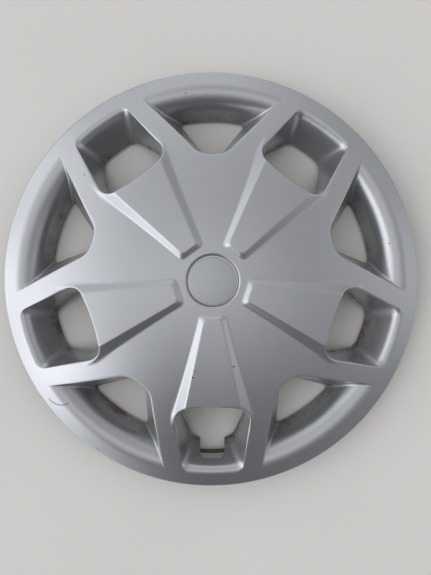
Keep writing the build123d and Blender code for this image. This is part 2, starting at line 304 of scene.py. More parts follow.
def hub_angles(rho):
    """Angles of the mesh lines across the hub at rows rho: close together along the panel's crest and foot."""
    crest = np.arctan2(crest_x(rho), rho)
    rise = PANEL_HUB_RISE + (PANEL_PORT_RISE - PANEL_HUB_RISE) * (rho - PANEL_HUB_R) / (PORT["inner"] - PANEL_HUB_R)
    foot = np.arctan2(crest_x(rho) + np.clip(rise, PANEL_HUB_RISE, None) / BEVEL * FOOT_REACH, rho)
    spoke = SPOKE_IN + SPOKE_SPREAD * (HUB_EDGE - rho) / HUB_EDGE
    zero = np.zeros_like(rho)
    top_half = np.minimum(CREST_LINES / rho, CREST_SHARE * (foot - crest))
    low_half = np.minimum(FOOT_LINES / rho, FOOT_SHARE * (foot - crest))
    port = spread([zero, crest - top_half, crest + top_half, foot - low_half, foot + low_half, spoke],
                  PORT_HUB_COUNTS)
    bay = spread([spoke, zero + STEP / 2], (BAY_HUB_COUNT,))
    return np.concatenate([port, bay[..., 1:]], axis=-1)


def hub_rows(rho, start):
    """Plan rows of the hub, round at the start and square to the arm's middle across the panel further out."""
    angle = hub_angles(rho)
    flat = np.clip((rho - start) / (HUB_SQUARE_R - start), 0, 1)[:, None]
    square = 1 / np.cos(np.minimum(angle, HUB_CLIP))
    return polar(rho[:, None] * (1 + (square - 1) * flat), angle)


def spoke_line(outer_r):
    """Middle of a spoke in plan, from the hub's edge to the rim, with the counts of the windows' sides."""
    a = hub_rows(np.array([HUB_EDGE]), CUP_R)[0][sum(PORT_HUB_COUNTS)]
    b = polar(outer_r, SPOKE_OUT)
    t = spread(SPOKE_KNOTS, (CORNER_REST, SIDE_COUNT, CREASE_FIRST))
    return a + (b - a) * t[:, None]


def cell_edge(is_port, outer_r):
    """Outline of a window's stretch of the face, matched line by line to the window's own outline."""
    hub = hub_rows(np.array([HUB_EDGE]), CUP_R)[0]
    n = sum(PORT_HUB_COUNTS)
    spoke = spoke_line(outer_r)
    if is_port:
        rim = polar(outer_r, spread([SPOKE_OUT, 0], (CREASE_COUNT - CREASE_FIRST + PORT_ARC_COUNT,)))
        return np.concatenate([hub[:n], spoke, rim[1:]])
    rim = polar(outer_r, spread([SPOKE_OUT, STEP / 2], (CREASE_COUNT - CREASE_FIRST + BAY_ARC_COUNT,)))
    return np.concatenate([hub[:n:-1], spoke, rim[1:]])


def swing(plan):
    """A bay's own plan points seen from the arm beside it: the angle is counted back from half a step."""
    angle = STEP / 2 - np.arctan2(plan[..., 0], plan[..., 1])
    return polar(np.hypot(plan[..., 0], plan[..., 1]), angle)


def window_spans(is_port):
    """Parameters along the five stretches of a window's outline, close together where the panel's foot crosses it."""
    turn = [np.linspace(0, 1, n, endpoint=False) for n in (SIDE_COUNT, CREASE_COUNT)]
    if not is_port:
        inner = np.linspace(0, 1, BAY_END_COUNT, endpoint=False)
        corner = np.linspace(0, 1, BAY_HUB_COUNT - BAY_END_COUNT + CORNER_REST, endpoint=False)
        return inner, corner, *turn, np.linspace(0, 1, BAY_ARC_COUNT + 1)
    inner = spread(PORT_END_KNOTS, PORT_HUB_COUNTS[:2])[:-1]
    corner = spread(PORT_CORNER_KNOTS, PORT_HUB_COUNTS[2:] + (CORNER_REST,))[:-1]
    return inner, corner, *turn, np.linspace(0, 1, PORT_ARC_COUNT + 1)


def stretch_values(spans, values):
    """One value per outline line from values at the six ends of its five stretches."""
    parts = [a + (b - a) * (3 * t**2 - 2 * t**3) for t, a, b in zip(spans, values, values[1:])]
    return np.concatenate(parts)


def in_notch(p):
    """Whether plan points lie in the valve notch: a bar along the arm whose outer corners are rounded."""
    x, y = np.abs(p[..., 0]), p[..., 1]
    dx = np.clip(x - NOTCH_HALF + NOTCH_CORNER, 0, None)
    dy = np.clip(y - NOTCH_END + NOTCH_CORNER, 0, None)
    return np.hypot(dx, dy) < NOTCH_CORNER


def window_skin(is_port, notched):
    """Skin round half a window in its own frame: face rows from the cell's edge to the window's edge, a rounded edge
    (a curve from the face through the sharp corner into the wall), the wall as outlines at growing depth, the rounded
    back edge, and the same again one wall behind. Returns points, and for each point its depth down the wall and
    whether it is on the back."""
    w = PORT if is_port else BAY
    spans = window_spans(is_port)
    height = (lambda p: face_z(p[..., 0], p[..., 1])) if is_port else (lambda p: dome_z(np.hypot(p[..., 0], p[..., 1])))
    t = np.linspace(0, 1, WALL_LEVELS)
    corner, crease = window_corners(w, t)
    end_z = [float(dome_z(w["inner"])), float(back_z(w["inner"]))]
    middle_z = end_z[0] + (end_z[1] - end_z[0]) * t
    wall = np.stack([window_loop(w, *each, spans) for each in zip(corner, crease, middle_z, t)])
    f2 = wall[0, :, :2]
    wall[..., 2] += (height(f2) - wall[0, :, 2]) * (1 - t)[:, None]
    f = wall[0]
    away = outward(f2)
    behind_wall = unit(np.cross(np.gradient(wall, axis=1), np.gradient(wall, axis=0)))
    column = len(spans[0]) + len(spans[1]) + len(spans[2]) // 2
    behind_wall *= np.sign(np.sum(behind_wall[len(t) // 2, column, :2] * away[column]))
    behind_wall[:, 0, 0] = behind_wall[:, -1, 0] = 0

    end = np.ones(len(f))
    if notched:
        fine = np.linspace(0, 1, NOTCH_STEPS)[:, None] * np.ones(len(f))
        hit = in_notch(at_depth(wall, fine))
        end = np.where(hit.any(axis=0), fine[hit.argmax(axis=0), 0], 1.0)
    ease = stretch_values(spans, (EDGE_ROUND, EDGE_ROUND, SIDE_ROUND, EDGE_ROUND, OUTER_EASE, OUTER_EASE))
    speed = np.linalg.norm(wall[1] - wall[0], axis=1) * (len(t) - 1)
    start = np.minimum(ease / speed, EASE_SHARE * end)
    foot = at_depth(wall, start[None])[0]
    brow2 = f2 + away * ease[:, None]
    brow = raise_to(brow2, height(brow2))
    cell = cell_edge(is_port, FACE_EDGE_R)
    cell2 = cell if is_port else swing(cell)
    face_rows = between(cell2, brow2, FACE_ROWS)
    face_rows = raise_to(face_rows, height(face_rows))
    roll_rows = curve(brow, f, foot, ROLL_ROWS[1:, None, None])
    last = at_depth(wall, end[None])[0]
    down = unit(last - at_depth(wall, end[None] - DOWN_STEP)[0])
    bulge = EDGE_BULGE / np.linalg.norm(wall[-1] - wall[0], axis=1)
    deep = start + (end - bulge - start) * WALL_ROWS[1:, None]
    wall_rows = at_depth(wall, deep)
    square = unit(at_depth(behind_wall, end[None] - bulge)[0])
    phi = np.linspace(0, pi, EDGE_ROWS + 1)[1:, None, None]
    edge_rows = wall_rows[-1] + square * WALL / 2 * (1 - np.cos(phi)) + down * EDGE_BULGE * np.sin(phi)
    rear = end * REAR_ROWS[:, None]
    rear_rows = at_depth(wall, rear) + WALL * unit(at_depth(behind_wall, rear))
    setback = stretch_values(spans, JOINT_SETBACK)
    joint2 = f2 + away * setback[:, None]
    joint = raise_to(joint2, height(joint2) - WALL)[None]
    back_cell = cell_edge(is_port, BACK_EDGE_R)
    back_cell2 = back_cell if is_port else swing(back_cell)
    back_face = between(joint2, back_cell2, BACK_ROWS[1:])
    back_face = raise_to(back_face, height(back_face) - WALL)
    points = np.concatenate([face_rows, roll_rows, wall_rows, edge_rows, rear_rows, joint, back_face])
    ones = np.ones(len(f))
    depth = np.concatenate([0 * FACE_ROWS[:, None] * ones, ROLL_ROWS[1:, None] * start, deep,
                            np.ones((len(points) - len(FACE_ROWS) - len(ROLL_ROWS) + 1 - len(deep), len(f)))])
    rear_from = len(FACE_ROWS) + len(ROLL_ROWS) - 1 + len(deep)
    behind = np.clip((np.arange(len(points)) - rear_from + 1) / EDGE_ROWS, 0, 1)[:, None] * ones
    if not is_port:
        points = np.concatenate([swing(points[..., :2]), points[..., 2:]], axis=-1)
    return points, depth, behind


def hub_skin():
    """Skin from the hub recess to the windows' cells, front and back, with the recess turned between them."""
    start = RECESS_R + RECESS_ROUND
    rho = spread([start, *HUB_KNOTS, HUB_EDGE], HUB_COUNTS)
    front2 = hub_rows(rho, start)
    front = raise_to(front2, face_z(front2[..., 0], front2[..., 1]))
    rho_back = spread([HUB_EDGE, HUB_BACK_KNOT, CUP_R], HUB_BACK_COUNTS)
    back2 = hub_rows(rho_back, CUP_R)
    back = raise_to(back2, face_z(back2[..., 0], back2[..., 1]) - WALL)
    angle = hub_angles(np.array([start]))[0]
    top = float(dome_z(start))
    t = np.linspace(0, 1, RECESS_ROWS)[:, None]
    rounding = curve((start, top), (RECESS_R, top), (RECESS_R - RECESS_EDGE[0], top - RECESS_EDGE[1]), t)
    floor_z, under_z = RECESS_FLOOR, RECESS_FLOOR - WALL
    cup = np.array([
        (RECESS_FLOOR_R + FLOOR_FOOT[0], floor_z + FLOOR_FOOT[1]), (RECESS_FLOOR_R, floor_z),
        (STEM_HOLE_R, floor_z), (STEM_HOLE_R, under_z), (RECESS_FLOOR_R + WALL, under_z),
        (CUP_R, float(dome_z(CUP_R)) - WALL)])
    profile = np.concatenate([rounding, cup])
    strip = raise_to(polar(profile[:, :1], angle[None]), profile[:, 1:])
    turned = hub_angles(np.array([CUP_R]))[0]
    strip[-1] = raise_to(polar(CUP_R, turned), float(dome_z(CUP_R)) - WALL)
    back[-1] = strip[-1]
    side = np.repeat((0.0, 1.0), (RECESS_FRONT, len(profile) - RECESS_FRONT))
    return [(front, 0 * front[..., 0], 0 * front[..., 0]),
            (strip, 0 * strip[..., 0], side[:, None] + 0 * strip[..., 0]),
            (back, 0 * back[..., 0] + 1, 0 * back[..., 0] + 1)]


def rim_skin():
    """Turned edge of the rim: a rounding from the face, the outer lip, its lower edge and its inner side."""
    n = CREASE_COUNT - CREASE_FIRST
    angle = np.concatenate([spread([0, SPOKE_OUT], (n + PORT_ARC_COUNT,)),
                            spread([SPOKE_OUT, STEP / 2], (n + BAY_ARC_COUNT,))[1:]])
    top, low = float(dome_z(FACE_EDGE_R)), float(dome_z(RIM_R)) - LIP_DEPTH
    t = np.linspace(0, 1, LIP_ROWS)[:, None]
    rounding = curve((FACE_EDGE_R, top), (RIM_R, top - LIP_TOP[0]), (RIM_R, top - LIP_TOP[1]), t)
    rest = np.array([
        (RIM_R, low + LIP_LINE), (RIM_R, low + LIP_EDGE), (RIM_R - LIP_CUT, low + LIP_CUT), (RIM_R - LIP_EDGE, low),
        (BACK_EDGE_R + LIP_EDGE, low), (BACK_EDGE_R + LIP_CUT, low + LIP_CUT), (BACK_EDGE_R, low + LIP_EDGE),
        (BACK_EDGE_R, float(dome_z(BACK_EDGE_R)) - WALL)])
    profile = np.concatenate([rounding, rest])
    strip = raise_to(polar(profile[:, :1], angle[None]), profile[:, 1:])
    side = np.repeat((0.0, 1.0), (LIP_FRONT, len(profile) - LIP_FRONT))
    return strip, 0 * strip[..., 0], side[:, None] + 0 * strip[..., 0]


def quads(rows, columns, first):
    """Corner numbers of the faces of a grid whose points start at a number."""
    k = first + np.arange(rows * columns).reshape(rows, columns)
    return np.stack([k[:-1, :-1], k[:-1, 1:], k[1:, 1:], k[1:, :-1]], axis=-1).reshape(-1, 4)


def placed(points, arm, side):
    """Half-sector points turned to an arm, whose middle line starts at -Y; side -1 mirrors them."""
    x, y = side * points[..., 0], points[..., 1]
    a = pi + arm * STEP
    return np.stack([x * cos(a) - y * sin(a), x * sin(a) + y * cos(a), points[..., 2]], axis=-1)


SHARP_ANGLE = radians(40)
WELD_STEPS = 50           # per millimetre: points on the same step become one


def finished(name, mesh):
    """Object for a mesh whose normals are turned outwards and whose faces are smooth up to an angle."""
    bm = bmesh.new()
    bm.from_mesh(mesh)
    bmesh.ops.recalc_face_normals(bm, faces=bm.faces)
    bm.to_mesh(mesh)
    bm.free()
    mesh.polygons.foreach_set("use_smooth", np.ones(len(mesh.polygons), bool))
    mesh.set_sharp_from_angle(angle=SHARP_ANGLE)
    piece = bpy.data.objects.new(name, mesh)
    bpy.context.scene.collection.objects.link(piece)
    return piece


def new_piece(name, points, faces, attributes=None):
    """Mesh object from points in millimetres: coinciding points become one, and faces with fewer than three corners
    left are dropped."""
    points = np.round(np.asarray(points, float), 4)
    steps = np.round(points * WELD_STEPS) / WELD_STEPS
    _, first, number = np.unique(steps, axis=0, return_index=True, return_inverse=True)
    corners = number.reshape(-1)[faces]
    mesh = bpy.data.meshes.new(name)
    mesh.from_pydata((points[first] * MM).tolist(), [], [list(dict.fromkeys(f)) for f in corners.tolist()
                                                        if len(set(f)) > 2])
    for key, values in (attributes or {}).items():
        mesh.attributes.new(key, "FLOAT", "POINT").data.foreach_set("value", values[first].astype(np.float32))
    return finished(name, mesh)


def wheel_cover():
    """The moulded skin: the half sector's patches, repeated to both sides of each arm."""
    shared = hub_skin() + [rim_skin(), window_skin(False, False)]
    ports = {notched: window_skin(True, notched) for notched in (False, True)}
    points, depth, behind, faces = [], [], [], []
    count = 0
    for arm in range(ARMS):
        for side in (1, -1):
            for patch, deep, rear in shared + [ports[arm == 0]]:
                faces.append(quads(*patch.shape[:2], count))
                points.append(placed(patch, arm, side).reshape(-1, 3))
                depth.append(deep.ravel())
                behind.append(rear.ravel())
                count += patch.shape[0] * patch.shape[1]
    return new_piece("wheel_cover", np.concatenate(points), np.concatenate(faces),
                     {"wall_depth": np.concatenate(depth), "back_side": np.concatenate(behind)})


LEG_OUTER_R, LEG_THICK, LEG_WIDTH, LEG_ANGLE = 189.2, 3.0, 14.0, radians(12.5)
LEG_BARB, LEG_HOOK, LEG_NUB, WIRE_GAP = 3.0, 3.0, 1.2, 0.2
LEG_STEPS = 7


def retaining_legs():
    """Two legs to each arm: one outline of barb, groove and nubs, turned about the axis through the leg's width."""
    inner = LEG_OUTER_R - LEG_THICK
    nub = inner - LEG_HOOK
    low = WIRE_HEIGHT - WIRE_RADIUS - WIRE_GAP
    high = WIRE_HEIGHT + WIRE_RADIUS + WIRE_GAP
    root = float(dome_z(LEG_OUTER_R)) - WALL / 2
    outline = np.array([
        (inner, 0), (LEG_OUTER_R, 0), (LEG_OUTER_R + LEG_BARB, WIRE_HEIGHT),
        (LEG_OUTER_R, WIRE_HEIGHT + LEG_BARB), (LEG_OUTER_R, root), (inner, root),
        (inner, high + LEG_NUB + LEG_HOOK), (nub, high + LEG_NUB), (nub, high), (inner, high), (inner, low),
        (nub, low), (nub, low - LEG_NUB)])
    n, steps = len(outline), LEG_STEPS
    angle = np.linspace(-0.5, 0.5, steps) * LEG_WIDTH / LEG_OUTER_R
    middles = (np.arange(ARMS)[:, None] * STEP + np.array([-LEG_ANGLE, LEG_ANGLE])).ravel()
    turn = middles[:, None] + angle
    r, z = outline[:, 0], outline[:, 1]
    points = np.stack(np.broadcast_arrays(
        r * np.sin(turn)[..., None], -r * np.cos(turn)[..., None], z), axis=-1)
    k = np.arange(len(middles) * steps * n).reshape(len(middles), steps, n)
    ring = np.roll(k, -1, axis=2)
    walls = np.stack([k[:, :-1], ring[:, :-1], ring[:, 1:], k[:, 1:]], axis=-1).reshape(-1, 4)
    caps = [list(row) for row in k[:, 0]] + [list(row) for row in k[:, -1]]
    mesh = bpy.data.meshes.new("retaining_legs")
    mesh.from_pydata((points.reshape(-1, 3) * MM).tolist(), [], walls.tolist() + caps)
    return finished("retaining_legs", mesh)


def turned_piece(name, profile, steps, closed, shift=(0, 0, 0)):
    """Profile of (r, z) points turned about the axis, then shifted; a closed profile joins its last point to its
    first."""
    profile = np.asarray(profile, float)
    angle = np.arange(steps) * 2 * pi / steps
    points = np.stack(np.broadcast_arrays(
        profile[:, 0] * np.cos(angle)[:, None], profile[:, 0] * np.sin(angle)[:, None], profile[:, 1]), axis=-1)
    k = np.arange(steps * len(profile)).reshape(steps, len(profile))
    after = np.roll(k, -1, axis=0)
    k, after = (np.concatenate([g, g[:, :1]], axis=1) if closed else g for g in (k, after))
    faces = np.stack([k[:, :-1], after[:, :-1], after[:, 1:], k[:, 1:]], axis=-1).reshape(-1, 4)
    return new_piece(name, points.reshape(-1, 3) + np.array(shift), faces)


# The badge sits a little low and to the left in its recess, and its stem ends in a bead
BADGE_SHIFT = (-0.5, -0.75, 0.0)
BADGE_R, BADGE_EDGE_Z, BADGE_CROWN_Z, BADGE_UNDER_Z = 23.3, 55.2, 56.35, 54.05
BADGE_ROUND, BADGE_LIFT = 0.7, 0.05
STEM_PROFILE = ((8.2, BADGE_UNDER_Z), (8.2, 51.35), (9.0, 51.35), (8.1, 48.95), (7.0, 48.95), (7.0, 53.9), (0.0, 53.9))
BADGE_ROWS, BADGE_ROUND_ROWS, BADGE_STEPS = 18, 7, 120
WIRE_SIDES, RING_STEPS = 16, 240


def hub_badge():
    """Blank domed disc with a rounded edge and its snap stem: r, z profile turned about the axis."""
    rise = BADGE_CROWN_Z - BADGE_EDGE_Z
    radius = (BADGE_R**2 + rise**2) / (2 * rise)
    r = np.linspace(0, BADGE_R - BADGE_ROUND, BADGE_ROWS)
    dome = np.stack([r, BADGE_CROWN_Z - radius + np.sqrt(radius**2 - r**2)], axis=1)
    corner, end = (BADGE_R, BADGE_EDGE_Z + BADGE_LIFT), (BADGE_R, BADGE_EDGE_Z - BADGE_ROUND)
    rounding = curve(dome[-1], corner, end, np.linspace(0, 1, BADGE_ROUND_ROWS)[1:, None])
    stem = np.array([(BADGE_R, BADGE_UNDER_Z), *STEM_PROFILE])
    return turned_piece("hub_badge", np.concatenate([dome, rounding, stem]), BADGE_STEPS, False, BADGE_SHIFT)


def spring_ring():
    """Wire ring: a circle of the wire's radius carried round the ring's."""
    angle = np.arange(WIRE_SIDES) * 2 * pi / WIRE_SIDES
    profile = np.stack([WIRE_R + WIRE_RADIUS * np.cos(angle), WIRE_HEIGHT + WIRE_RADIUS * np.sin(angle)], axis=1)
    return turned_piece("spring_ring", profile, RING_STEPS, True)


# Nodes of the finishes
def group(name, inputs, outputs):
    """Empty shader node group with named float sockets, and its input and output nodes."""
    tree = bpy.data.node_groups.new(name, "ShaderNodeTree")
    for labels, way in ((inputs, "INPUT"), (outputs, "OUTPUT")):
        for label in labels:
            tree.interface.new_socket(label, in_out=way, socket_type="NodeSocketFloat")
    return tree, tree.nodes.new("NodeGroupInput"), tree.nodes.new("NodeGroupOutput")


class Nodes:
    """Short ways to add nodes to one tree and wire them up."""

    def __init__(self, tree):
        self.tree = tree

    def add(self, kind, **settings):
        node = self.tree.nodes.new(kind)
        for key, value in settings.items():
            setattr(node, key, value)
        return node

    def plug(self, socket, value):
        if isinstance(value, bpy.types.NodeSocket):
            self.tree.links.new(value, socket)
        else:
            socket.default_value = value

    def math(self, operation, *values, clamp=False):
        node = self.add("ShaderNodeMath", operation=operation, use_clamp=clamp)
        for socket, value in zip(node.inputs, values):
            self.plug(socket, value)
        return node.outputs[0]

    def vector(self, operation, *values):
        node = self.add("ShaderNodeVectorMath", operation=operation)
        for socket, value in zip(node.inputs, values):
            self.plug(socket, value)
        return node.outputs["Value" if operation in ("LENGTH", "DISTANCE", "DOT_PRODUCT") else "Vector"]

    def ramp(self, value, low, high, start=0.0, end=1.0):
        node = self.add("ShaderNodeMapRange", interpolation_type="SMOOTHSTEP")
        for socket, v in zip(node.inputs, (value, low, high, start, end)):
            self.plug(socket, v)
        return node.outputs["Result"]

    def noise(self, place, scale, detail=2.0, roughness=0.5):
        node = self.add("ShaderNodeTexNoise")
        for key, v in (("Vector", place), ("Scale", scale), ("Detail", detail), ("Roughness", roughness)):
            self.plug(node.inputs[key], v)
        return node.outputs["Fac"]

    def blend(self, share, a, b):
        node = self.add("ShaderNodeMix", data_type="RGBA")
        for key, v in ((0, share), (6, a), (7, b)):
            self.plug(node.inputs[key], v)
        return node.outputs[2]

    def place(self):
        return self.add("ShaderNodeTexCoord").outputs["Object"]

    def effect(self, tree, **values):
        node = self.add("ShaderNodeGroup", node_tree=tree)
        for key, v in values.items():
            self.plug(node.inputs[key], v)
        return node.outputs


# Scales of the noise in the finishes, per metre
DUST_AND_SHADE_COARSE, DUST_AND_SHADE_FINE = 24.0, 240.0
PEEL_SCALE, FLAKE_SCALE, CLOUD_SCALE = 420.0, 2400.0, 14.0
CHIP_SCALE, GRAIN_SCALE, WIRE_SCALE, FLOOR_SCALE = 700.0, 900.0, 120.0, 3.0

# Brake dust and painted shade: the noise's edges, the depths between which the dust film and the grime band set in, and
# their shares: what the coarse noise adds, and the least. The grime band along the walls' back edges is partly painted
# shade.
COARSE_EDGES, FINE_EDGES = (0.32, 0.68), (0.3, 0.75, 0.6, 1.0)
FILM_DEPTH, FILM_SHARE = (0.1, 0.9), (0.34, 0.16)
GRIME_AND_SHADE_DEPTH, GRIME_AND_SHADE_SHARE = (0.55, 1.0), (0.5, 0.35)
SPECK_EDGE = (0.06, 0.14, 1.0, 0.0)


def dust_and_shade_group():
    """Brake dust and painted shade: a thin brown dust film that grows with the depth down a window wall, and a dark
    band along the back edge that is partly grime and partly painted shade, both broken up in a coarse and a fine noise."""
    tree, given, out = group("brake_dust_and_shade", ("Depth", "Amount"), ("Mask",))
    n = Nodes(tree)
    place = n.place()
    coarse = n.ramp(n.noise(place, DUST_AND_SHADE_COARSE, 3.0), *COARSE_EDGES)
    fine = n.ramp(n.noise(place, DUST_AND_SHADE_FINE, 3.0), *FINE_EDGES)
    # The grime band darkens the deepest part of every window wall: partly real grime, partly painted shade of the deep
    # walls.
    film, grime_and_shade = [n.math("MULTIPLY", n.ramp(given.outputs["Depth"], *band), n.math("MULTIPLY_ADD", coarse, *share))
                   for band, share in ((FILM_DEPTH, FILM_SHARE), (GRIME_AND_SHADE_DEPTH, GRIME_AND_SHADE_SHARE))]
    dust_and_shade = n.math("MULTIPLY", n.math("ADD", film, grime_and_shade), fine)
    n.plug(out.inputs["Mask"], n.math("MULTIPLY", dust_and_shade, given.outputs["Amount"], clamp=True))
    return tree


def speck_group():
    """Specks: small round cells, kept where their own random number is under a share."""
    tree, given, out = group("specks", ("Scale", "Kept"), ("Mask",))
    n = Nodes(tree)
    cell = n.add("ShaderNodeTexVoronoi")
    n.plug(cell.inputs["Vector"], n.place())
    n.plug(cell.inputs["Scale"], given.outputs["Scale"])
    dot = n.ramp(cell.outputs["Distance"], *SPECK_EDGE)
    pick = n.add("ShaderNodeSeparateColor")
    n.plug(pick.inputs[0], cell.outputs["Color"])
    n.plug(out.inputs["Mask"], n.math("MULTIPLY", dot, n.math("LESS_THAN", pick.outputs[0], given.outputs["Kept"])))
    return tree


def peel_group():
    """Sprayed metallic paint: a height for the orange peel, a brightness for the flake and a slow cloud of tone."""
    tree, _, out = group("sprayed_paint", (), ("Height", "Flake", "Cloud"))
    n = Nodes(tree)
    place = n.place()
    n.plug(out.inputs["Height"], n.noise(place, PEEL_SCALE, 1.0))
    n.plug(out.inputs["Flake"], n.noise(place, FLAKE_SCALE, 1.0))
    n.plug(out.inputs["Cloud"], n.noise(place, CLOUD_SCALE, 3.0))
    return tree


DUST_AND_SHADE, SPECKS, PEEL = dust_and_shade_group(), speck_group(), peel_group()
SILVER = (0.415, 0.43, 0.46, 1)
PAINT_METAL, PAINT_ROUGH = 0.8, 0.28
DUST_AND_SHADE_BROWN = (0.085, 0.066, 0.048, 1)
BARE_PLASTIC = (0.04, 0.041, 0.043, 1)
CHIP_DARK = (0.03, 0.026, 0.023, 1)
WIRE_DARK = (0.07, 0.07, 0.072, 1)
PAINT_COAT, COAT_ROUGH, BADGE_COAT_ROUGH = 0.25, 0.2, 0.15
PEEL_BUMP, GRAIN_BUMP = (0.05, 0.0004), (0.12, 0.0003)      # strength and distance
DUST_BUMP = 2.0           # height of the dust over that of the orange peel

# What a texture adds, and the least: brightness from flake and cloud, roughness from cloud, grain and wear
FLAKE_TONE, CLOUD_TONE, BADGE_TONE = (0.16, 0.92), (0.10, 0.95), (0.14, 0.9)
CLOUD_ROUGH, DULL_ROUGH = 0.08, 0.25
BADGE_ROUGH, GRAIN_ROUGH, WIRE_ROUGH = (0.1, 0.3), (0.2, 0.42), (0.25, 0.3)
WIRE_METAL = (0.0, 0.8, 0.9, 0.2)
LEG_DUST, WIRE_DUST = 0.35, 0.6

# Specks: cells per metre and the share kept; in the windows the share grows with the depth
LOOSE_SPECKS, BADGE_SPECKS = dict(Scale=110.0, Kept=0.035), dict(Scale=260.0, Kept=0.05)
WINDOW_SPECK_SCALE, WINDOW_SPECKS = 300.0, (0.15, 1.0, 0.0, 0.16)
SPECK_SHOW, MARK_SHOW, BADGE_SPECK_SHOW = 0.7, 0.92, 0.5
BACK_EDGES = (0.4, 0.6)   # where the paint ends on the way to the back

# Marks on the face, seen from above in millimetres: chips down to the plastic and a hair-thin curved scratch
CHIPS = ((-19.3, -93.5, 1.2), (-16.4, -87.2, 0.7), (20.2, -83.3, 1.1))
SCRATCH_CENTRE, SCRATCH_R, SCRATCH_WIDTH = (-154.5, -111.5), 15.1, 0.42
SCRATCH_MIDDLE, SCRATCH_HALF = (-157.6, -125.8), 12.5


def from_above(n, place, centre):
    """Distance in plan from a point given in millimetres."""
    flat = n.vector("MULTIPLY", place, (1, 1, 0))
    return n.vector("DISTANCE", flat, (centre[0] * MM, centre[1] * MM, 0))


def chip(n, place, x, y, radius):
    """Ragged spot: the distance from a point, shaken by noise, under a radius."""
    shake = n.math("MULTIPLY", n.noise(place, CHIP_SCALE, 2.0), 1.2 * radius * MM)
    far = n.math("ADD", from_above(n, place, (x, y)), shake)
    return n.ramp(far, 1.2 * radius * MM, 1.6 * radius * MM, 1.0, 0.0)


def scratch(n, place):
    """Curved scratch: a narrow ring about its centre, kept within reach of its middle."""
    off = n.math("ABSOLUTE", n.math("SUBTRACT", from_above(n, place, SCRATCH_CENTRE), SCRATCH_R * MM))
    line = n.ramp(off, 0.6 * SCRATCH_WIDTH * MM, 1.3 * SCRATCH_WIDTH * MM, 1.0, 0.0)
    near = n.ramp(from_above(n, place, SCRATCH_MIDDLE), 0.8 * SCRATCH_HALF * MM, SCRATCH_HALF * MM, 1.0, 0.0)
    return n.math("MULTIPLY", line, near)


def new_finish(name):
    """Material, the helper for its nodes, and its shader."""
    material = bpy.data.materials.new(name)
    material.use_nodes = True
    return material, Nodes(material.node_tree), material.node_tree.nodes["Principled BSDF"]


def silver(n, brightness):
    """The paint's silver, scaled by a brightness."""
    tone = n.add("ShaderNodeVectorMath", operation="SCALE")
    n.plug(tone.inputs[0], SILVER[:3])
    n.plug(tone.inputs["Scale"], brightness)
    return tone.outputs["Vector"]


def add_bump(n, shader, height, strength, distance):
    """Bump of a height on a shader's normal."""
    bump = n.add("ShaderNodeBump")
    for key, v in (("Strength", strength), ("Distance", distance), ("Height", height)):
        n.plug(bump.inputs[key], v)
    n.plug(shader.inputs["Normal"], bump.outputs["Normal"])


def silver_paint():
    """Silver paint with flake and orange peel, brake dust with painted shade at the walls' back edges and specks down
    the windows, chips, a scratch and a bare plastic back."""
    material, n, shader = new_finish("silver_paint")
    place = n.place()
    depth = n.add("ShaderNodeAttribute", attribute_name="wall_depth").outputs["Fac"]
    back = n.ramp(n.add("ShaderNodeAttribute", attribute_name="back_side").outputs["Fac"], *BACK_EDGES)
    sprayed = n.effect(PEEL)
    dust_and_shade = n.effect(DUST_AND_SHADE, Depth=depth, Amount=1.0)["Mask"]
    loose = n.effect(SPECKS, **LOOSE_SPECKS)["Mask"]
    thick = n.effect(SPECKS, Scale=WINDOW_SPECK_SCALE, Kept=n.ramp(depth, *WINDOW_SPECKS))["Mask"]
    flake = n.math("MULTIPLY_ADD", sprayed["Flake"], *FLAKE_TONE)
    cloud = n.math("MULTIPLY_ADD", sprayed["Cloud"], *CLOUD_TONE)
    # The dust mask browns and darkens the window walls with depth: a real dust film, and at the back edges a dark band
    # that is partly painted shade.
    colour = n.blend(dust_and_shade, silver(n, n.math("MULTIPLY", flake, cloud)), DUST_AND_SHADE_BROWN)
    marks = n.math("MAXIMUM", scratch(n, place), n.math("MULTIPLY", n.math("MAXIMUM", loose, thick), SPECK_SHOW))
    for x, y, radius in CHIPS:
        marks = n.math("MAXIMUM", marks, chip(n, place, x, y, radius))
    colour = n.blend(n.math("MULTIPLY", marks, MARK_SHOW), colour, CHIP_DARK)
    n.plug(shader.inputs["Base Color"], n.blend(back, colour, BARE_PLASTIC))
    dull = n.math("MAXIMUM", n.math("MAXIMUM", dust_and_shade, marks), back)
    n.plug(shader.inputs["Metallic"], n.ramp(dull, 0.0, 1.0, PAINT_METAL, 0.0))
    rough = n.math("MULTIPLY_ADD", sprayed["Cloud"], CLOUD_ROUGH, PAINT_ROUGH - CLOUD_ROUGH / 2)
    n.plug(shader.inputs["Roughness"], n.math("MULTIPLY_ADD", dull, DULL_ROUGH, rough))
    n.plug(shader.inputs["Coat Weight"], PAINT_COAT)
    n.plug(shader.inputs["Coat Roughness"], COAT_ROUGH)
    add_bump(n, shader, n.math("ADD", sprayed["Height"], n.math("MULTIPLY", dust_and_shade, DUST_BUMP)), *PEEL_BUMP)
    return material


def badge_silver():
    """The same sprayed silver on the badge, with a few specks."""
    material, n, shader = new_finish("badge_silver")
    sprayed = n.effect(PEEL)
    specks = n.effect(SPECKS, **BADGE_SPECKS)["Mask"]
    tone = silver(n, n.math("MULTIPLY_ADD", sprayed["Flake"], *BADGE_TONE))
    n.plug(shader.inputs["Base Color"], n.blend(n.math("MULTIPLY", specks, BADGE_SPECK_SHOW), tone, DUST_AND_SHADE_BROWN))
    n.plug(shader.inputs["Metallic"], PAINT_METAL)
    n.plug(shader.inputs["Roughness"], n.math("MULTIPLY_ADD", sprayed["Cloud"], *BADGE_ROUGH))
    n.plug(shader.inputs["Coat Weight"], PAINT_COAT)
    n.plug(shader.inputs["Coat Roughness"], BADGE_COAT_ROUGH)
    add_bump(n, shader, sprayed["Height"], *PEEL_BUMP)
    return material


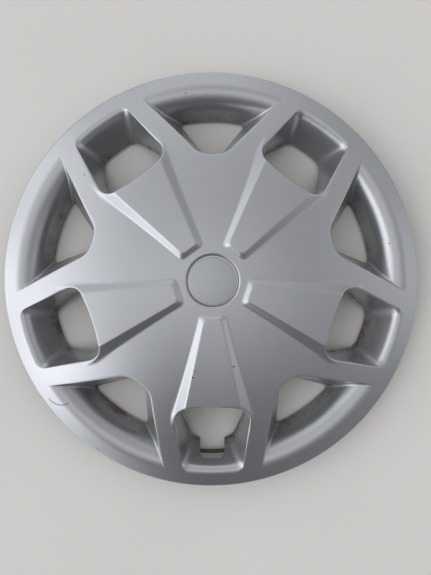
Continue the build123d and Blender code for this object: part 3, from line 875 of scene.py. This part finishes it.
def moulded_plastic():
    """Bare dark moulding of the legs: fine grain, dust settled in patches."""
    material, n, shader = new_finish("moulded_plastic")
    grain = n.noise(n.place(), GRAIN_SCALE, 2.0)
    dust_and_shade = n.effect(DUST_AND_SHADE, Depth=1.0, Amount=LEG_DUST)["Mask"]
    n.plug(shader.inputs["Base Color"], n.blend(dust_and_shade, BARE_PLASTIC, DUST_AND_SHADE_BROWN))
    n.plug(shader.inputs["Roughness"], n.math("MULTIPLY_ADD", grain, *GRAIN_ROUGH))
    add_bump(n, shader, grain, *GRAIN_BUMP)
    return material


def spring_steel():
    """Dark oiled spring wire: metal of uneven roughness with patches of dust."""
    material, n, shader = new_finish("spring_steel")
    dust_and_shade = n.effect(DUST_AND_SHADE, Depth=1.0, Amount=WIRE_DUST)["Mask"]
    n.plug(shader.inputs["Base Color"], n.blend(dust_and_shade, WIRE_DARK, DUST_AND_SHADE_BROWN))
    n.plug(shader.inputs["Metallic"], n.ramp(dust_and_shade, *WIRE_METAL))
    n.plug(shader.inputs["Roughness"], n.math("MULTIPLY_ADD", n.noise(n.place(), WIRE_SCALE, 3.0), *WIRE_ROUGH))
    return material


cover, legs, badge, ring = wheel_cover(), retaining_legs(), hub_badge(), spring_ring()
plastic = moulded_plastic()
for piece, node, finish, name in ((cover, "cover", silver_paint(), "silver_paint"),
                                  (legs, "cover", plastic, "silver_paint"),
                                  (badge, "centre_badge", badge_silver(), "badge_silver"),
                                  (ring, "retaining_ring", spring_steel(), "spring_steel")):
    piece.data.materials.append(finish)
    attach(piece, "root")
    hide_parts(node)


def link(name, data, place=(0, 0, 0)):
    """Object for some data, in the scene at a place."""
    thing = bpy.data.objects.new(name, data)
    bpy.context.scene.collection.objects.link(thing)
    thing.location = place
    return thing


def look(thing, target, up=(0, 1, 0)):
    """Turns the camera so that it looks along -Z at a target, with an up direction."""
    back = (thing.location - Vector(target)).normalized()
    right = Vector(up).cross(back).normalized()
    thing.rotation_mode = "QUATERNION"
    thing.rotation_quaternion = Matrix((right, back.cross(right), back)).transposed().to_quaternion()


# Camera over the cover, a little to the left of the axis
CAMERA_PLACE, CAMERA_TARGET = (-0.00450, 0.00100, 0.47213), (0.00309, -0.00692, 0.0283)
CAMERA_LENS, CAMERA_SENSOR, CAMERA_CLIP = 27.05, 36.0, (0.01, 50.0)
camera = link("camera", bpy.data.cameras.new("camera"), CAMERA_PLACE)
camera.data.lens = CAMERA_LENS
camera.data.sensor_width = CAMERA_SENSOR
camera.data.clip_start, camera.data.clip_end = CAMERA_CLIP
look(camera, CAMERA_TARGET)
bpy.context.scene.camera = camera

FLOOR_HALF, FLOOR_ROUGH = 30.0, 0.8
FLOOR_TONES, FLOOR_EDGES = ((0.70, 0.69, 0.67, 1), (0.74, 0.73, 0.71, 1)), (0.2, 0.8)


def studio_floor():
    """Plain pale floor with a faint unevenness."""
    mesh = bpy.data.meshes.new("floor")
    corners = [(x * FLOOR_HALF, y * FLOOR_HALF, 0) for x, y in ((-1, -1), (1, -1), (1, 1), (-1, 1))]
    mesh.from_pydata(corners, [], [(0, 1, 2, 3)])
    material, n, shader = new_finish("pale_floor")
    tone = n.ramp(n.noise(n.place(), FLOOR_SCALE, 2.0), *FLOOR_EDGES)
    n.plug(shader.inputs["Base Color"], n.blend(tone, *FLOOR_TONES))
    n.plug(shader.inputs["Roughness"], FLOOR_ROUGH)
    mesh.materials.append(material)
    return link("floor", mesh)


studio_floor()


# Soft room light: direction of each patch, how narrow it is, and its strength
ROOM_LEVEL, HORIZON_LEVEL, HORIZON_EDGES = 0.04, 0.24, (0.1, 0.34)
ROOM_PATCHES = (
    ((-0.94, 0.00, 0.34), 36, 2.9), ((-0.81, 0.47, 0.34), 36, 1.5), ((-0.81, -0.47, 0.34), 36, 1.0),
    ((-0.74, 0.00, 0.67), 36, 1.7), ((-0.64, -0.37, 0.67), 36, 3.2), ((-0.64, 0.37, 0.67), 36, 0.75),
    ((-0.47, 0.00, 0.88), 20, 0.6), ((0.82, 0.00, 0.57), 12, 0.7), ((0.56, 0.56, 0.61), 12, 0.45),
    ((0.00, 0.79, 0.61), 12, 0.78), ((-0.56, 0.56, 0.61), 12, 0.85), ((0.00, 0.99, 0.14), 14, 0.7),
    ((0.00, 0.00, 1.00), 10, 0.9), ((0.56, -0.56, 0.61), 12, 0.1), ((-0.52, -0.78, 0.32), 36, 2.6),
    ((0.95, 0.05, 0.30), 24, 0.45), ((0.55, -0.75, 0.33), 24, 0.2),
)


def studio_world():
    """Soft room light: a low level that is paler at the horizon, and broad patches, each a power of the cosine to its
    direction."""
    world = bpy.data.worlds.new("studio")
    bpy.context.scene.world = world
    world.use_nodes = True
    n = Nodes(world.node_tree)
    way = n.add("ShaderNodeTexCoord").outputs["Generated"]
    height = n.add("ShaderNodeSeparateXYZ")
    n.plug(height.inputs[0], way)
    level = n.ramp(height.outputs["Z"], *HORIZON_EDGES, HORIZON_LEVEL, ROOM_LEVEL)
    for towards, narrow, strength in ROOM_PATCHES:
        near = n.math("MAXIMUM", n.vector("DOT_PRODUCT", way, towards), 0.0)
        level = n.math("MULTIPLY_ADD", n.math("POWER", near, narrow), strength, level)
    background = world.node_tree.nodes["Background"]
    n.plug(background.inputs["Color"], (1, 1, 1, 1))
    n.plug(background.inputs["Strength"], level)


studio_world()
bpy.context.scene.view_settings.view_transform = "Standard"
